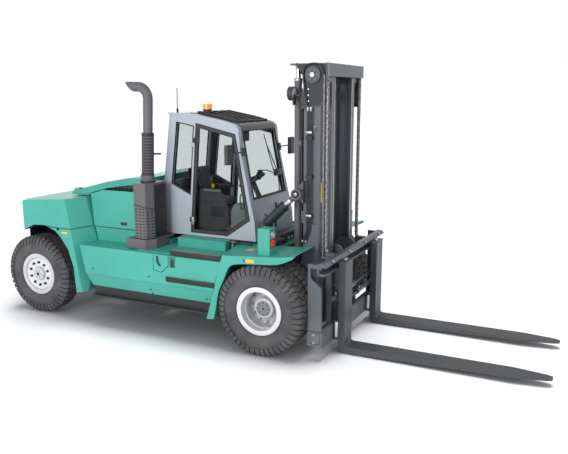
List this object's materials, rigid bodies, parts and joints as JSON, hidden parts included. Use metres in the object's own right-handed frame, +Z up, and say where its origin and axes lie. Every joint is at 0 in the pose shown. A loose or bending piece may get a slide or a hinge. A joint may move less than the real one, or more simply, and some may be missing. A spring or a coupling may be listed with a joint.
{
  "type": "heavy counterbalance forklift truck",
  "caption": "Heavy counterbalance forklift with a two-stage mast, side-shifting forks, glazed cab, twin front wheels and steered rear wheels.",
  "frame": {"origin": "on the ground under the middle of the overall box, between the axles", "axes": "+X forward towards the fork tips, +Y to the left of the driver, +Z up"},
  "size_m": [7.77, 2.54, 3.4699],
  "materials": {
    "body_green": "glossy teal machine enamel",
    "cab_grey": "light grey machine enamel",
    "mast_grey": "dark blue-grey machine enamel",
    "exhaust_grey": "warm grey heat paint",
    "dark_steel": "black chassis paint",
    "tyre": "black lugged rubber",
    "rim_silver": "silver-white wheel enamel",
    "cast_grey": "grey painted casting",
    "chain_steel": "greased leaf chain",
    "chrome_rod": "hard chromed rod",
    "glass": "clear safety glass",
    "lamp_clear": "clear lamp",
    "lamp_orange": "orange-red lens",
    "beacon_orange": "orange beacon dome",
    "black_plastic": "black moulded plastic",
    "hose_rubber": "black hydraulic hose",
    "seat_cloth": "dark woven seat cloth"
  },
  "bodies": {
    "chassis": {"beacon": "beacon_orange", "cab_controls": "black_plastic", "cab_deck": "body_green", "cab_glass": "glass", "cab_mounts": "black_plastic", "cab_shell": "cab_grey", "chassis_frame": "dark_steel", "counterweight": "body_green", "drive_axle": "dark_steel", "engine_block": "cast_grey", "engine_side_panels": "body_green", "exhaust_box": "exhaust_grey", "exhaust_stack": "exhaust_grey", "front_fenders": "body_green", "headlamps": "lamp_clear", "hood_grilles": "dark_steel", "indicator_lamps": "lamp_orange", "lamp_posts": "body_green", "mirrors_antenna": "black_plastic", "rear_lamps": "lamp_orange", "roof_guard": "dark_steel", "running_boards": "dark_steel", "seat": "seat_cloth", "side_boxes": "body_green", "steer_axle": "dark_steel", "steering_wheel": "black_plastic", "steps": "dark_steel", "tilt_brackets": "dark_steel", "tow_hitch": "dark_steel"},
    "hood": {"hood_lid": "body_green"},
    "door_left": {"door_left": "cab_grey", "door_glass_left": "glass"},
    "door_right": {"door_right": "cab_grey", "door_glass_right": "glass"},
    "wheels_front_left": {"front_tyres_left": "tyre", "front_rims_left": "rim_silver"},
    "wheels_front_right": {"front_tyres_right": "tyre", "front_rims_right": "rim_silver"},
    "knuckle_left": {"knuckle_left": "dark_steel"},
    "knuckle_right": {"knuckle_right": "dark_steel"},
    "wheel_rear_left": {"rear_tyre_left": "tyre", "rear_rim_left": "rim_silver"},
    "wheel_rear_right": {"rear_tyre_right": "tyre", "rear_rim_right": "rim_silver"},
    "tilt_barrel_left": {"tilt_barrel_left": "dark_steel"},
    "tilt_barrel_right": {"tilt_barrel_right": "dark_steel"},
    "tilt_rod_left": {"tilt_rod_left": "chrome_rod"},
    "tilt_rod_right": {"tilt_rod_right": "chrome_rod"},
    "mast": {"outer_mast": "mast_grey", "lift_barrels": "mast_grey", "mast_hoses": "hose_rubber"},
    "inner_mast": {"inner_mast": "mast_grey", "lift_rods": "chrome_rod", "chain_sheaves": "cast_grey", "lift_chains": "chain_steel", "work_lamps": "black_plastic"},
    "carriage": {"carriage": "mast_grey", "fork_positioners": "mast_grey"},
    "fork_left": {"fork_left": "mast_grey"},
    "fork_right": {"fork_right": "mast_grey"}
  },
  "joints": [
    {"name": "wheels_front_left_turn", "type": "hinge", "parent": "chassis", "child": "wheels_front_left", "pos_m": [0.615, 0.96, 0.5625], "axis": [0, 1, 0], "continuous": true},
    {"name": "wheels_front_right_turn", "type": "hinge", "parent": "chassis", "child": "wheels_front_right", "pos_m": [0.615, -0.96, 0.5625], "axis": [0, 1, 0], "continuous": true},
    {"name": "steer_left", "type": "hinge", "parent": "chassis", "child": "knuckle_left", "pos_m": [-3.055, 0.8, 0.5625], "axis": [0, 0, 1], "range_deg": [-50, 50]},
    {"name": "steer_right", "type": "hinge", "parent": "chassis", "child": "knuckle_right", "pos_m": [-3.055, -0.8, 0.5625], "axis": [0, 0, 1], "range_deg": [-50, 50]},
    {"name": "wheel_rear_left_turn", "type": "hinge", "parent": "knuckle_left", "child": "wheel_rear_left", "pos_m": [-3.055, 0.99, 0.5625], "axis": [0, 1, 0], "continuous": true},
    {"name": "wheel_rear_right_turn", "type": "hinge", "parent": "knuckle_right", "child": "wheel_rear_right", "pos_m": [-3.055, -0.99, 0.5625], "axis": [0, 1, 0], "continuous": true},
    {"name": "mast_tilt", "type": "hinge", "parent": "chassis", "child": "mast", "pos_m": [0.815, 0, 0.62], "axis": [0, 1, 0], "range_deg": [-10, 5]},
    {"name": "tilt_barrel_left_swing", "type": "hinge", "parent": "chassis", "child": "tilt_barrel_left", "pos_m": [0.43, 0.7, 1.508], "axis": [0, 1, 0], "range_deg": [-17.5, 9]},
    {"name": "tilt_rod_left_slide", "type": "slide", "parent": "tilt_barrel_left", "child": "tilt_rod_left", "axis": [0.7219, 0, 0.692], "range_m": [-0.155, 0.08]},
    {"name": "tilt_barrel_right_swing", "type": "hinge", "parent": "chassis", "child": "tilt_barrel_right", "pos_m": [0.43, -0.7, 1.508], "axis": [0, 1, 0], "range_deg": [-17.5, 9]},
    {"name": "tilt_rod_right_slide", "type": "slide", "parent": "tilt_barrel_right", "child": "tilt_rod_right", "axis": [0.7219, 0, 0.692], "range_m": [-0.155, 0.08]},
    {"name": "mast_lift", "type": "slide", "parent": "mast", "child": "inner_mast", "axis": [0, 0, 1], "range_m": [0, 2]},
    {"name": "carriage_lift", "type": "slide", "parent": "inner_mast", "child": "carriage", "axis": [0, 0, 1], "range_m": [0, 2], "deforming": ["lift_chains"]},
    {"name": "fork_left_spread", "type": "slide", "parent": "carriage", "child": "fork_left", "axis": [0, 1, 0], "range_m": [-0.33, 0.36]},
    {"name": "fork_right_spread", "type": "slide", "parent": "carriage", "child": "fork_right", "axis": [0, -1, 0], "range_m": [-0.33, 0.36]},
    {"name": "door_left_open", "type": "hinge", "parent": "chassis", "child": "door_left", "pos_m": [-0.765, 0.593, 1.285], "axis": [0.0753, -0.0096, 0.9971], "range_deg": [0, 90]},
    {"name": "door_right_open", "type": "hinge", "parent": "chassis", "child": "door_right", "pos_m": [-0.765, -0.593, 1.285], "axis": [-0.0753, -0.0096, -0.9971], "range_deg": [0, 90]},
    {"name": "hood_open", "type": "hinge", "parent": "chassis", "child": "hood", "pos_m": [-2.59, 0, 1.748], "axis": [0, -1, 0], "range_deg": [0, 50]}
  ],
  "couplings": [
    {"joint": "steer_right", "follows": "steer_left", "ratio": 1},
    {"joint": "carriage_lift", "follows": "mast_lift", "ratio": 1},
    {"joint": "tilt_barrel_left_swing", "follows": "mast_tilt", "ratio": 1.69},
    {"joint": "tilt_rod_left_slide", "follows": "mast_tilt", "m_per_rad": 0.855},
    {"joint": "tilt_barrel_right_swing", "follows": "mast_tilt", "ratio": 1.69},
    {"joint": "tilt_rod_right_slide", "follows": "mast_tilt", "m_per_rad": 0.855},
    {"joint": "fork_right_spread", "follows": "fork_left_spread", "ratio": 1}
  ]
}
